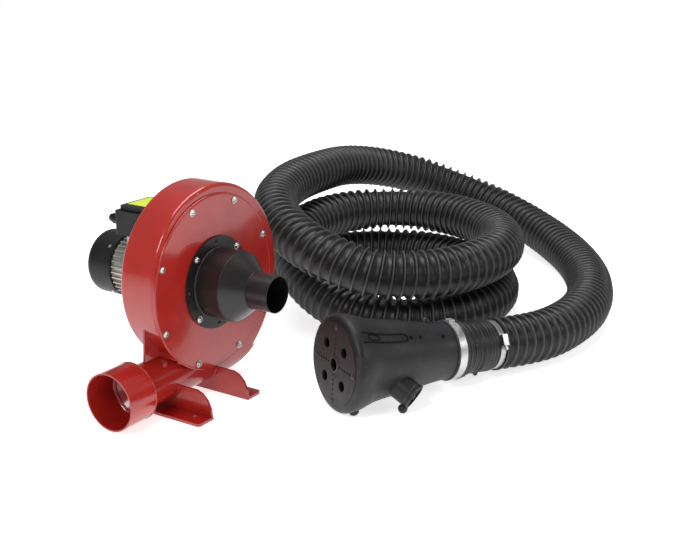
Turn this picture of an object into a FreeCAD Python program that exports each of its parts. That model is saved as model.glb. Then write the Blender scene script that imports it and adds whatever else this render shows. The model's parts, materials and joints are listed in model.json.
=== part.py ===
import FreeCAD, Part
import math
import os
import re
import Sketcher
from FreeCAD import Placement, Rotation, Vector

# Fume extraction blower with its ribbed hose and rubber nozzle. Millimetres, +Z up.
# The inlet looks along -Y, the outlet points along -X and the motor stands out along +Y.
# The origin is on the floor under the fan axis, in the front face of the cover plate.

SIZES = {
    # scroll housing: three arcs whose radius grows by scroll_growth each quarter turn
    "axis_height": 245, "scroll_radius": 190, "scroll_growth": 17, "scroll_centre_x": 6,
    "scroll_centre_z": 14, "scroll_width": 88, "scroll_wall": 3, "scroll_round": 8,
    "opening_inset": 40, "shaft_opening": 28,
    # outlet pipe and its wider socket
    "pipe_radius": 46, "pipe_axis_y": 51, "pipe_end": 125, "ledge_run": 100, "socket_radius": 60,
    "socket_start": -205, "socket_end": -275, "socket_shoulder": 14,
    # cover plate and its gasket
    "cover_inset": 7, "cover_thick": 3, "cover_bore": 70, "gasket_thick": 1.5,
    "cover_screw_inset": 10, "cover_screw_count": 8, "screw_radius": 3, "screw_hole": 3.3,
    "screw_head": 6, "screw_head_high": 4, "washer_radius": 7.5, "washer_thick": 1.2,
    "screw_reach": 10,
    # inlet adapter
    "adapter_flange": 97.5, "adapter_flange_thick": 3, "adapter_radius": 73, "adapter_wall": 2,
    "cone_start": 62, "cone_end": 104, "spigot_radius": 38.1, "spigot_end": 156,
    "adapter_bolt_circle": 89, "adapter_screw_count": 4,
    # angle feet
    "foot_width": 45, "foot_half": 129, "foot_thick": 6, "web_thick": 5, "web_drop": 7,
    "near_web": -118, "far_web": -5, "foot_bolt_x": 17, "foot_bolt_y": 94, "foot_hole": 5.5,
    "gusset_thick": 4, "gusset_y": 50, "gusset_inset": 10, "gusset_drop": 62,
    # motor
    "motor_bolt_circle": 50, "motor_bolt_count": 4, "frame_outer": 62, "frame_wall": 6,
    "fin_high": 7, "fin_thick": 2, "fin_count": 36, "shield_thick": 16, "frame_length": 134,
    "stator_length": 70, "stator_bore": 32, "winding_length": 20,
    "winding_inner": 36, "winding_gap": 4, "rotor_radius": 31.6, "shaft_radius": 9,
    "bearing_seat": 7.5, "bearing_outer": 17.5, "bearing_width": 11, "shaft_nose": 7,
    "fan_cover_proud": 8, "fan_cover_length": 72, "fan_cover_wall": 2,
    # terminal box
    "box_x": -10, "box_y": 168, "box_length": 110, "box_depth": 92, "box_rise": 85,
    "box_high": 48, "box_wall": 3, "lid_high": 14, "lid_inset": 8,
    # impeller
    "impeller_gap": 30, "impeller_eye": 68, "blade_count": 10, "blade_thick": 2,
    "blade_front": 20, "impeller_plate": 3, "impeller_back": 76, "hub_radius": 20,
    # nozzle, cuffs and hose
    "nozzle_x": 50, "nozzle_y": -258, "nozzle_turn": -117.9, "nozzle_dip": -4.5,
    "mouth_radius": 102, "neck_radius": 62, "neck_start": 245, "neck_end": 300,
    "rubber_wall": 5, "cuff_inset": 2, "cuff_end": 400, "hose_radius": 58, "hose_wall": 2,
    "mouth_round": 14, "face_hole": 11, "centre_hole": 14, "face_hole_circle": 50,
    "port_radius": 27.5, "port_along": 100, "port_out": 49.5, "clamp_turn": 62,
    "first_run": 110, "slack": 0.3,
}

# Sizes that follow from those above, so that pieces which fit together go on fitting.
DERIVED = {
    "cover_radius": "(scroll_radius - cover_inset)",
    "cover_bolt_circle": "(scroll_radius - cover_inset - cover_screw_inset)",
    "scroll_opening": "(scroll_radius - opening_inset)",
    "impeller_radius": "(scroll_radius - impeller_gap)",
    "frame_inner": "(frame_outer - frame_wall)",
    "winding_outer": "(frame_outer - frame_wall - winding_gap)",
    "fin_radius": "(frame_outer + fin_high)",
    "shield_radius": "(frame_outer + fin_high)",
    "fan_cover_radius": "(frame_outer + fan_cover_proud)",
    "box_base": "(axis_height + box_rise)",
    "gusset_x": "(scroll_centre_x - scroll_radius + gusset_inset)",
    "gusset_top": "(axis_height - gusset_drop)",
    "cuff_radius": "(hose_radius - cuff_inset)",
}

doc = FreeCAD.newDocument("fume_extraction_blower")
sheet = doc.addObject("Spreadsheet::Sheet", "Sizes")
for row, (alias, value) in enumerate(SIZES.items(), 1):
    sheet.set(f"A{row}", alias)
    sheet.set(f"B{row}", str(value))
    sheet.setAlias(f"B{row}", alias)
doc.recompute()
WORD = re.compile(r"[a-z][a-z_]*")
nodes = []


def size(name):
    """The value of a cell of the sheet, or of a size that follows from the cells."""
    return number(sheet, name) if name in DERIVED else float(sheet.get(name))


def bound(text):
    """A formula in the sheet's aliases and the derived sizes, as a FreeCAD expression."""
    spelled = WORD.sub(lambda m: DERIVED.get(m.group(0), m.group(0)), text)
    return WORD.sub(lambda m: f"Sizes.{m.group(0)}" if m.group(0) in SIZES else m.group(0),
                    spelled)


def node(label, obj):
    """Marks an object as a sub-part of its own."""
    obj.Label = label
    nodes.append(obj)
    return obj


def new_body(label):
    return doc.addObject("PartDesign::Body", label)


def new_sketch(body, role, offset=None):
    """An empty sketch on one of the body's own origin planes, moved along its normal."""
    sketch = body.newObject("Sketcher::SketchObject", "Sketch")
    sketch.AttachmentSupport = [(plane_of(body, role), "")]
    sketch.MapMode = "FlatFace"
    if offset:
        sketch.setExpression("AttachmentOffset.Base.z", bound(offset))
    return sketch


def plane_of(body, role):
    return next(f for f in body.Origin.OriginFeatures if f.Role == role)


def pin_point(sketch, curve, point, x, y):
    """Ties a point of a curve to two formulas, measured from the sketch's origin."""
    for kind, text in (("DistanceX", x), ("DistanceY", y)):
        value = number(sketch, text)
        index = sketch.addConstraint(Sketcher.Constraint(kind, -1, 1, curve, point, value))
        sketch.setExpression(f"Constraints[{index}]", bound(text))


def number(obj, text):
    """The present value of a formula."""
    result = obj.evalExpression(bound(text))
    return float(getattr(result, "Value", result))


def draw_outline(sketch, points):
    """A closed outline of straight edges through points given as pairs of formulas."""
    corners = [Vector(number(sketch, x), number(sketch, y), 0) for x, y in points]
    first = sketch.GeometryCount
    count = len(corners)
    for i in range(count):
        sketch.addGeometry(Part.LineSegment(corners[i], corners[(i + 1) % count]))
    for i in range(count):
        following = first + (i + 1) % count
        sketch.addConstraint(Sketcher.Constraint("Coincident", first + i, 2, following, 1))
        pin_point(sketch, first + i, 1, *points[i])


def draw_circle(sketch, x, y, radius):
    centre = Vector(number(sketch, x), number(sketch, y), 0)
    curve = sketch.addGeometry(Part.Circle(centre, Vector(0, 0, 1), number(sketch, radius)))
    index = sketch.addConstraint(Sketcher.Constraint("Radius", curve, number(sketch, radius)))
    sketch.setExpression(f"Constraints[{index}]", bound(radius))
    pin_point(sketch, curve, 3, x, y)


def turned(label, points, body=None):
    """A solid of revolution about Y: the outline's points are (radius, y)."""
    body = body or new_body(label)
    sketch = new_sketch(body, "XY_Plane")
    draw_outline(sketch, points)
    revolution = body.newObject("PartDesign::Revolution", "Revolution")
    revolution.Profile = sketch
    revolution.ReferenceAxis = (sketch, ["V_Axis"])
    revolution.Angle = 360
    sketch.Visibility = False
    return body


def pad(body, role, start, length, outlines=(), circles=(), toward_minus=False):
    """Pads a sketch from start: XZ goes toward +Y, XY toward +Z and YZ toward +X."""
    flipped = role == "XZ_Plane"
    sketch = new_sketch(body, role, f"-({start})" if flipped else start)
    for points in outlines:
        draw_outline(sketch, points)
    for x, y, radius in circles:
        draw_circle(sketch, x, y, radius)
    feature = body.newObject("PartDesign::Pad", "Pad")
    feature.Profile = sketch
    feature.setExpression("Length", bound(length))
    feature.Reversed = flipped != toward_minus
    return feature


def drill(body, role, circles):
    """Cuts round holes right through the body, both ways from the plane."""
    sketch = new_sketch(body, role)
    for x, y, radius in circles:
        draw_circle(sketch, x, y, radius)
    pocket = body.newObject("PartDesign::Pocket", "Pocket")
    pocket.Profile = sketch
    pocket.Type = "ThroughAll"
    pocket.Midplane = True
    return pocket


def repeat(body, feature, count):
    """Repeats a feature about the body's own Y axis."""
    pattern = body.newObject("PartDesign::PolarPattern", "PolarPattern")
    pattern.Originals = [feature]
    axis = next(f for f in body.Origin.OriginFeatures if f.Role == "Y_Axis")
    pattern.Axis = (axis, [""])
    pattern.Angle = 360
    pattern.setExpression("Occurrences", bound(count))
    body.Tip = pattern
    return pattern


def ring_of_holes(count, circle, start, radius):
    """Circles spread evenly on a bolt circle."""
    step = 360 / int(size(count))
    angles = [start + step * i for i in range(int(size(count)))]
    return [(f"{circle} * cos({a} deg)", f"{circle} * sin({a} deg)", radius) for a in angles]


def on_axis(body):
    """Lifts a body from the origin onto the fan axis."""
    body.setExpression("Placement.Base.z", bound("axis_height"))
    return body


def shape_node(label, shape):
    """A sub-part whose shape is worked out here from the sheet's sizes."""
    feature = doc.addObject("Part::Feature", label)
    feature.Shape = shape
    return node(label, feature)


def cylinder(radius, start, end, axis=Vector(0, 1, 0), centre=Vector()):
    """A cylinder from start to end, both measured along its axis from centre."""
    return Part.makeCylinder(radius, abs(end - start), centre + axis * min(start, end), axis)


def copies_on_circle(shape, count, circle, start, centre=Vector()):
    """Copies of a shape built at the origin, spread on a circle about Y."""
    group = []
    for i in range(count):
        angle = math.radians(start + 360 / count * i)
        copy = shape.copy()
        spot = Vector(circle * math.cos(angle), 0, circle * math.sin(angle))
        copy.translate(centre + spot)
        group.append(copy)
    return Part.makeCompound(group)


AXIS = Vector(0, 0, size("axis_height"))
CASING_FRONT = size("cover_thick") + size("gasket_thick")
CASING_BACK = CASING_FRONT + size("scroll_width")
SCROLL_LOW = (size("scroll_centre_z") - size("scroll_growth")
              - size("scroll_radius") - 2 * size("scroll_growth"))
PIPE_AXIS = Vector(0, size("pipe_axis_y"),
                   size("axis_height") + SCROLL_LOW + size("pipe_radius"))
TONGUE_ANGLE = 226
CASING_FRONT_TEXT = "(cover_thick + gasket_thick)"
CASING_BACK_TEXT = "(cover_thick + gasket_thick + scroll_width)"


# ---------------------------------------------------------------- scroll housing

def scroll_prism(inset, front, back):
    """The scroll's outline, moved in by inset, as a prism from front to back."""
    growth = size("scroll_growth")
    first = size("scroll_radius")
    centre_x, centre_z = size("scroll_centre_x"), size("scroll_centre_z")
    arcs = ((centre_x, centre_z, first, TONGUE_ANGLE, 90),
            (centre_x, centre_z - growth, first + growth, 90, 0),
            (centre_x - growth, centre_z - growth, first + 2 * growth, 0, -90))

    def at(arc, angle):
        x, z, radius = arc[:3]
        turn = math.radians(angle)
        return Vector(x + (radius - inset) * math.cos(turn), front,
                      size("axis_height") + z + (radius - inset) * math.sin(turn))

    edges = []
    for arc in arcs:
        start, end = arc[3:]
        bend = Part.Arc(at(arc, start), at(arc, (start + end) / 2), at(arc, end))
        edges.append(bend.toShape())
    tongue, bottom = at(arcs[0], TONGUE_ANGLE), at(arcs[2], -90)
    corner = Vector(tongue.x, front, bottom.z)
    edges.append(Part.makeLine(bottom, corner))
    edges.append(Part.makeLine(corner, tongue))
    return Part.Face(Part.Wire(edges)).extrude(Vector(0, back - front, 0))


def housing(inset, front, back):
    """The scroll down to a sloping ledge, and the pipe below it as far as the scroll reaches."""
    scroll = scroll_prism(inset, front, back)
    if inset == 0:
        scroll = rounded_rim(scroll)
    reach = 2 * size("scroll_radius")
    tongue_x = (size("scroll_centre_x")
                + (size("scroll_radius") - inset) * math.cos(math.radians(TONGUE_ANGLE)))
    ledge = ((-reach, size("pipe_radius")), (tongue_x, size("pipe_radius")),
             (tongue_x + size("ledge_run"), 0), (reach, 0), (reach, -reach), (-reach, -reach))
    corners = [Vector(x, -reach, PIPE_AXIS.z + z + inset) for x, z in ledge]
    below = Part.Face(Part.makePolygon(corners + [corners[0]]))
    below = below.extrude(Vector(0, 2 * reach, 0))
    run = outlet_tube(inset)
    keep = scroll_prism(inset, PIPE_AXIS.y - reach, PIPE_AXIS.y + reach)
    outside = Part.makeBox(reach, 2 * reach, 2 * reach,
                           Vector(tongue_x + 1 - reach, -reach, 0))
    return scroll.cut(below).fuse(run.common(keep.fuse(outside)))


def rounded_rim(prism):
    """Rounds the rim of the scroll's front and back, along its three arcs."""
    rim = [e for e in prism.Edges if e.Curve.TypeId == "Part::GeomCircle"
           and e.Length > size("scroll_radius")
           and abs(e.Vertexes[0].Y - e.Vertexes[-1].Y) < 0.01]
    return prism.makeFillet(size("scroll_round"), rim)


def outlet_tube(inset):
    """The outlet pipe and its socket, along X, moved in by inset."""
    pipe, socket = size("pipe_radius") - inset, size("socket_radius") - inset
    along = Vector(1, 0, 0)
    start, mouth = size("socket_start"), size("socket_end")
    shoulder = size("socket_shoulder")
    tube = cylinder(pipe, start, size("pipe_end"), along, PIPE_AXIS)
    cone = Part.makeCone(socket, pipe, shoulder, PIPE_AXIS + along * start, along)
    return tube.fuse([cone, cylinder(socket, mouth - (inset > 0), start, along, PIPE_AXIS)])


HOUSING = housing(0, CASING_FRONT, CASING_BACK)


def make_casing():
    wall = size("scroll_wall")
    inner = housing(wall, CASING_FRONT + wall, CASING_BACK - wall)
    eye = cylinder(size("scroll_opening"), CASING_FRONT - 1, CASING_FRONT + wall + 1, centre=AXIS)
    rear = cylinder(size("shaft_opening"), CASING_BACK - wall - 1, CASING_BACK + 1, centre=AXIS)
    tapped = cylinder(size("screw_radius") + 0.05, CASING_FRONT - 1, CASING_FRONT + 20)
    front_holes = copies_on_circle(tapped, int(size("cover_screw_count")),
                                   size("cover_bolt_circle"), 22.5, AXIS)
    clear = cylinder(size("screw_hole"), CASING_BACK - wall - 1, CASING_BACK + 1)
    rear_holes = copies_on_circle(clear, int(size("motor_bolt_count")),
                                  size("motor_bolt_circle"), 45, AXIS)
    casing = HOUSING.cut([inner, eye, rear] + front_holes.Solids + rear_holes.Solids)
    shape_node("volute_casing", casing)


def make_cover():
    cover = turned("cover_plate", [("cover_bore", "0"), ("cover_radius - 1.5", "0"),
                                   ("cover_radius", "1.5"), ("cover_radius", "cover_thick"),
                                   ("cover_bore", "cover_thick")])
    drill(cover, "XZ_Plane", cover_holes() + adapter_holes())
    node("cover_plate", on_axis(cover))
    gasket = turned("cover_gasket", [("scroll_opening + 4", "cover_thick"),
                                     ("cover_radius - 1", "cover_thick"),
                                     ("cover_radius - 1", CASING_FRONT_TEXT),
                                     ("scroll_opening + 4", CASING_FRONT_TEXT)])
    drill(gasket, "XZ_Plane", cover_holes())
    node("cover_gasket", on_axis(gasket))


def cover_holes():
    return ring_of_holes("cover_screw_count", "cover_bolt_circle", 22.5, "screw_hole")


def adapter_holes():
    return ring_of_holes("adapter_screw_count", "adapter_bolt_circle", 45, "screw_hole")


def screw_shape(seat, reach):
    """A socket button screw and its washer: seat is the y that the washer rests on."""
    thick, head = size("washer_thick"), size("screw_head")
    under = seat - thick
    shank = cylinder(size("screw_radius"), under - 1, seat + reach)
    dome = Part.makeCone(head, head * 0.62, size("screw_head_high"),
                         Vector(0, under, 0), Vector(0, -1, 0))
    points = [Vector(head * 0.36 * math.cos(math.radians(a)), under - size("screw_head_high"),
                     head * 0.36 * math.sin(math.radians(a))) for a in range(0, 361, 60)]
    socket = Part.Face(Part.makePolygon(points)).extrude(Vector(0, 2.2, 0))
    washer = cylinder(size("washer_radius"), under, seat)
    return shank.fuse([dome, washer]).cut(socket).removeSplitter()


def make_screws():
    cover_screw = screw_shape(0, size("screw_reach"))
    shape_node("cover_screws", copies_on_circle(cover_screw, int(size("cover_screw_count")),
                                                size("cover_bolt_circle"), 22.5, AXIS))
    flange_front = -size("gasket_thick") - size("adapter_flange_thick")
    adapter_screw = screw_shape(flange_front, size("screw_reach") + 1)
    shape_node("inlet_screws", copies_on_circle(adapter_screw, int(size("adapter_screw_count")),
                                                size("adapter_bolt_circle"), 45, AXIS))


def make_adapter():
    gasket = turned("inlet_gasket", [("cover_bore", "-gasket_thick"),
                                     ("adapter_flange - 1", "-gasket_thick"),
                                     ("adapter_flange - 1", "0"), ("cover_bore", "0")])
    drill(gasket, "XZ_Plane", adapter_holes())
    node("inlet_gasket", on_axis(gasket))
    back = "-gasket_thick"
    front = "-gasket_thick - adapter_flange_thick"
    adapter = turned("inlet_adapter", [
        ("adapter_radius - adapter_wall", back), ("adapter_flange", back),
        ("adapter_flange", front), ("adapter_radius", front), ("adapter_radius", "-cone_start"),
        ("spigot_radius", "-cone_end"), ("spigot_radius", "-spigot_end"),
        ("spigot_radius - adapter_wall", "-spigot_end"),
        ("spigot_radius - adapter_wall", "-cone_end + adapter_wall / 2"),
        ("adapter_radius - adapter_wall", "-cone_start + adapter_wall / 2")])
    drill(adapter, "XZ_Plane", adapter_holes())
    node("inlet_adapter", on_axis(adapter))


def make_foot(label, web_x, side):
    """An angle foot: a base plate and a web that saddles the pipe, both cut to fit it."""
    width, half, thick = size("foot_width"), size("foot_half"), size("foot_thick")
    web, high = size("web_thick"), PIPE_AXIS.z - size("web_drop")
    middle = PIPE_AXIS.y
    low_x = web_x - width if side < 0 else web_x
    plate = Part.makeBox(width, 2 * half, thick, Vector(low_x, middle - half, 0))
    corners = [e for e in plate.Edges if abs(e.Length - thick) < 0.01
               and abs(e.CenterOfMass.x - web_x) > 1]
    plate = plate.makeFillet(8, corners)
    outline = ((half - 1, thick - 1), (half - 3, high * 0.38), (half - 11, high * 0.7),
               (half - 24, high * 0.91), (half - 38, high), (size("pipe_radius") / 2, high))
    left = [Vector(web_x, middle - y, z) for y, z in outline]
    right = [Vector(web_x, middle + y, z) for y, z in reversed(outline)]
    face = Part.Face(Part.makePolygon(left + right + [left[0]]))
    upright = face.extrude(Vector(side * web, 0, 0))
    cover_room = cylinder(size("cover_radius") + 2, -12, CASING_FRONT, centre=AXIS)
    foot = plate.fuse(upright).cut([HOUSING, cover_room] + foot_holes())
    shape_node(label, foot.removeSplitter())


def foot_holes():
    """The four bolt holes of the feet, spread about the pipe."""
    holes = []
    for x in (size("near_web") - size("foot_bolt_x"), size("far_web") + size("foot_bolt_x")):
        for y in (-size("foot_bolt_y"), size("foot_bolt_y")):
            spot = Vector(x, PIPE_AXIS.y + y, 0)
            holes.append(cylinder(size("foot_hole"), -1, size("foot_thick") + 1,
                                  Vector(0, 0, 1), spot))
    return holes


def make_gusset():
    """A triangular plate between the scroll's lower left and the top of the pipe."""
    y = size("gusset_y") - size("gusset_thick") / 2
    pipe_top = PIPE_AXIS.z + size("pipe_radius") - 6
    points = [Vector(size("gusset_x") + 6, y, size("gusset_top")),
              Vector(size("gusset_x"), y, pipe_top), Vector(-110, y, pipe_top),
              Vector(-110, y, size("gusset_top"))]
    plate = Part.Face(Part.makePolygon(points + [points[0]]))
    plate = plate.extrude(Vector(0, size("gusset_thick"), 0))
    plate = plate.cut(HOUSING)
    shape_node("throat_gusset", max(plate.Solids, key=lambda s: s.Volume))


# ---------------------------------------------------------------- motor

def make_motor_frame():
    front = f"{CASING_BACK_TEXT} + shield_thick"
    frame = turned("motor_frame", [("frame_inner", front), ("frame_outer", front),
                                   ("frame_outer", f"{front} + frame_length"),
                                   ("frame_inner", f"{front} + frame_length")])
    half = "fin_thick / 2"
    fin = pad(frame, "XZ_Plane", f"{front} + 3", "frame_length - 15", outlines=[[
        (f"-{half}", "frame_outer - 1"), (half, "frame_outer - 1"),
        (half, "fin_radius"), (f"-{half}", "fin_radius")]])
    repeat(frame, fin, "fin_count")
    pad(frame, "XY_Plane", "frame_outer - 6", "box_base - axis_height - frame_outer + 6",
        outlines=[[("box_x - 32", "box_y - 36"), ("box_x + 32", "box_y - 36"),
                   ("box_x + 32", "box_y + 36"), ("box_x - 32", "box_y + 36")]])
    node("motor_frame", on_axis(frame))
    shield = turned("drive_end_shield", [
        ("bearing_outer", CASING_BACK_TEXT), ("shield_radius", CASING_BACK_TEXT),
        ("shield_radius", front), ("frame_inner - slack", front),
        ("frame_inner - slack", f"{front} + 4"), ("bearing_outer", f"{front} + 4")])
    drill(shield, "XZ_Plane", ring_of_holes("motor_bolt_count", "motor_bolt_circle", 45,
                                            "screw_radius + 0.05"))
    node("drive_end_shield", on_axis(shield))
    rear = f"{front} + frame_length"
    rear_shield = turned("rear_end_shield", [
        ("bearing_outer", f"{rear} - 4"), ("frame_inner - slack", f"{rear} - 4"),
        ("frame_inner - slack", rear), ("shield_radius - 3", rear),
        ("shield_radius - 3", f"{rear} + 9"), ("bearing_outer", f"{rear} + 9")])
    node("rear_end_shield", on_axis(rear_shield))


SHIELD_FRONT = CASING_BACK + size("shield_thick")
FRAME_REAR = SHIELD_FRONT + size("frame_length")
CORE_START = SHIELD_FRONT + (size("frame_length") - size("stator_length")) / 2
CORE_END = CORE_START + size("stator_length")


def tube_shape(outer, inner, start, end):
    ring = cylinder(outer, start, end, centre=AXIS)
    return ring.cut(cylinder(inner, start - 1, end + 1, centre=AXIS))


def make_motor_core():
    stator = tube_shape(size("frame_inner"), size("stator_bore"), CORE_START, CORE_END)
    shape_node("stator_core", stator)
    length = size("winding_length")
    heads = [tube_shape(size("winding_outer"), size("winding_inner"), start, start + length)
             for start in (CORE_START - length, CORE_END)]
    shape_node("stator_windings", Part.makeCompound(heads))
    rotor = tube_shape(size("rotor_radius"), size("shaft_radius"), CORE_START, CORE_END)
    shape_node("rotor_core", rotor)
    seat, width = size("bearing_seat"), size("bearing_width")
    nose = size("impeller_back") - 34
    steps = [cylinder(size("shaft_nose"), nose, SHIELD_FRONT - 10, centre=AXIS),
             cylinder(seat - 0.02, SHIELD_FRONT - 12, FRAME_REAR + 10, centre=AXIS),
             cylinder(size("shaft_radius"), SHIELD_FRONT + 6, FRAME_REAR - 6, centre=AXIS),
             cylinder(size("shaft_nose") - 1, FRAME_REAR + 9, FRAME_REAR + 38, centre=AXIS)]
    shaft = steps[0].fuse(steps[1:])
    key = Part.makeBox(4, 18, 4, AXIS + Vector(-2, nose + 8, size("shaft_nose") - 2.5))
    bolt_bore = cylinder(2.5, nose - 1, nose + 14, centre=AXIS)
    shape_node("motor_shaft", shaft.cut([key, bolt_bore]).removeSplitter())
    shape_node("shaft_key", key)
    for label, start in (("drive_end_bearing", SHIELD_FRONT - 9),
                         ("rear_end_bearing", FRAME_REAR - 3)):
        shape_node(label, tube_shape(size("bearing_outer"), seat, start, start + width))


def make_motor_bolts():
    """Cap screws from inside the scroll, through its back wall into the end shield."""
    inside = CASING_BACK - size("scroll_wall")
    shank = cylinder(size("screw_radius"), inside, inside + 17)
    head = cylinder(size("screw_head") - 1, inside - 5, inside)
    shape_node("motor_mounting_screws", copies_on_circle(
        shank.fuse(head).removeSplitter(), int(size("motor_bolt_count")),
        size("motor_bolt_circle"), 45, AXIS))


def make_cooling_fan():
    start = FRAME_REAR + 14
    body = turned("cooling_fan", [
        ("shaft_nose - 1", f"{start}"), ("54", f"{start}"), ("54", f"{start + 2}"),
        ("13", f"{start + 2}"), ("13", f"{start + 20}"), ("shaft_nose - 1", f"{start + 20}")])
    blade = pad(body, "XZ_Plane", f"{start + 1}", "18", outlines=[[
        ("12", "-1"), ("52", "-1"), ("52", "1"), ("12", "1")]])
    repeat(body, blade, "8")
    node("cooling_fan", on_axis(body))


def make_fan_cover():
    """A domed cup over the cooling fan, with rings of air slots in its end."""
    outer, wall, length = size("fan_cover_radius"), size("fan_cover_wall"), size("fan_cover_length")
    start = FRAME_REAR - 8
    end = start + length
    shell = cylinder(outer, start, end, centre=AXIS)
    rim = [e for e in shell.Edges if e.Length > outer and e.CenterOfMass.y > end - 1]
    shell = shell.makeFillet(16, rim)
    hollow = cylinder(outer - wall, start - 1, end - wall, centre=AXIS)
    rim = [e for e in hollow.Edges if e.Length > outer and e.CenterOfMass.y > end - wall - 1]
    shell = shell.cut(hollow.makeFillet(15, rim))
    slots = []
    for count, radius, length_out in ((8, 16, 10), (16, 31, 17)):
        for i in range(count):
            slot = Part.makeBox(length_out, wall + 4, 4, Vector(radius, end - wall - 2, -2))
            slot.rotate(Vector(), Vector(0, 1, 0), 360 / count * i)
            slot.translate(AXIS)
            slots.append(slot)
    screw_hole = cylinder(2.1, outer - wall - 3, outer + 3, Vector(1, 0, 0))
    holes, screws = [], []
    reach = outer - (size("shield_radius") - 3)
    for i in range(4):
        hole = screw_hole.copy()
        stem = cylinder(2, outer - reach, outer, Vector(1, 0, 0))
        screw = stem.fuse(cylinder(4, outer, outer + 2.2, Vector(1, 0, 0)))
        for item, group in ((hole, holes), (screw.removeSplitter(), screws)):
            item.translate(Vector(0, FRAME_REAR + 4, 0))
            item.rotate(Vector(), Vector(0, 1, 0), 45 + 90 * i)
            item.translate(AXIS)
            group.append(item)
    shape_node("fan_cover", shell.cut(slots + holes))
    shape_node("fan_cover_screws", Part.makeCompound(screws))


def box_from_middle(x, y, low, length, depth, high, rounding=0):
    """A box about (x, y) standing on low, with its upright edges rounded."""
    block = Part.makeBox(length, depth, high, Vector(x - length / 2, y - depth / 2, low))
    if rounding:
        upright = [e for e in block.Edges if abs(e.Vertexes[0].Z - e.Vertexes[-1].Z) > high / 2]
        block = block.makeFillet(rounding, upright)
    return block


def make_terminal_box():
    x, y, low = size("box_x"), size("box_y"), size("box_base")
    length, depth, high = size("box_length"), size("box_depth"), size("box_high")
    wall, lid, inset = size("box_wall"), size("lid_high"), size("lid_inset")
    block = box_from_middle(x, y, low, length, depth, high, 6)
    cavity = box_from_middle(x, y, low + wall, length - 2 * wall, depth - 2 * wall, high, 4)
    gland = Vector(x - length / 2 + 16, y + depth / 2, low + high - 18)
    bore = cylinder(8, -wall - 2, 2, centre=gland)
    shape_node("terminal_box", block.cut([cavity, bore]))
    make_gland(gland, wall)
    top = low + high
    cap = box_from_middle(x, y, top, length, depth, 4, 6)
    raised = box_from_middle(x, y, top + 4, length - 2 * inset, depth - 2 * inset, lid - 4, 6)
    hollow = box_from_middle(x, y, top - 1, length - 2 * inset - 6, depth - 2 * inset - 6,
                             lid - 2, 4)
    shape_node("terminal_box_lid", cap.fuse(raised).cut(hollow).removeSplitter())
    shape_node("rating_plate_blank", box_from_middle(x + 6, y + 4, top + lid, 70, 56, 0.4, 3))
    capacitor = cylinder(17, -38, 38, Vector(1, 0, 0), Vector(x, y - 20, low + wall + 17))
    shape_node("run_capacitor", capacitor)
    block = box_from_middle(x, y + 22, low + wall, 60, 18, 14)
    posts = [cylinder(2.5, 0, 20, Vector(0, 0, 1), Vector(x - 22 + 22 * i, y + 22, low + wall))
             for i in range(3)]
    shape_node("terminal_block", block.fuse(posts).removeSplitter())


def make_gland(centre, wall):
    """A cable gland through the box's rear wall, with no cable in it."""
    flange = cylinder(11, 0, 5, centre=centre)
    points = [centre + Vector(12 * math.cos(math.radians(a)), 5, 12 * math.sin(math.radians(a)))
              for a in range(0, 361, 60)]
    nut = Part.Face(Part.makePolygon(points)).extrude(Vector(0, 9, 0))
    dome = Part.makeCone(11, 8, 10, centre + Vector(0, 14, 0), Vector(0, 1, 0))
    thread = cylinder(7.9, -wall - 5, 1, centre=centre)
    passage = cylinder(4, -20, 40, centre=centre)
    shape_node("cable_gland", flange.fuse([nut, dome, thread]).cut(passage).removeSplitter())


# ---------------------------------------------------------------- impeller

def make_impeller():
    back = "impeller_back"
    body = turned("impeller", [
        ("shaft_nose + 0.01", f"{back} - 26"), ("hub_radius", f"{back} - 26"),
        ("hub_radius + 4", f"{back} - impeller_plate"),
        ("impeller_radius", f"{back} - impeller_plate"), ("impeller_radius", back),
        ("shaft_nose + 0.01", back)])
    half = "blade_thick / 2"
    blade = pad(body, "XZ_Plane", "blade_front", f"{back} - blade_front - 1", outlines=[[
        ("impeller_eye", f"-{half} - 20"), ("impeller_radius - 4", f"-{half} + 12"),
        ("impeller_radius - 4", f"{half} + 12"), ("impeller_eye", f"{half} - 20")]])
    repeat(body, blade, "blade_count")
    key_way = body.newObject("PartDesign::Pocket", "Keyway")
    sketch = new_sketch(body, "XZ_Plane")
    draw_outline(sketch, [("-2.05", "0"), ("2.05", "0"), ("2.05", "shaft_nose + 1.6"),
                          ("-2.05", "shaft_nose + 1.6")])
    key_way.Profile = sketch
    key_way.Type = "ThroughAll"
    key_way.Midplane = True
    body.Tip = key_way
    node("impeller", on_axis(body))
    seat = size("impeller_back") - 34
    washer = cylinder(15, seat - 3, seat, centre=AXIS)
    shape_node("impeller_washer", washer.cut(cylinder(2.6, seat - 4, seat + 1, centre=AXIS)))
    bolt = cylinder(2.48, seat - 4, seat + 12, centre=AXIS)
    shape_node("impeller_bolt", bolt.fuse(cylinder(7, seat - 8, seat - 3, centre=AXIS)))


# ---------------------------------------------------------------- nozzle, cuffs and hose

NOZZLE = Placement(
    Vector(size("nozzle_x"), size("nozzle_y"),
           size("mouth_radius") * math.cos(math.radians(size("nozzle_dip")))),
    Rotation(Vector(0, 0, 1), size("nozzle_turn")) * Rotation(Vector(1, 0, 0), size("nozzle_dip")))


def revolved(points):
    """A solid turned about the nozzle's own axis, from points of (along, radius)."""
    corners = [Vector(radius, along, 0) for along, radius in points]
    face = Part.Face(Part.makePolygon(corners + [corners[0]]))
    return face.revolve(Vector(), Vector(0, 1, 0), 360)


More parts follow.
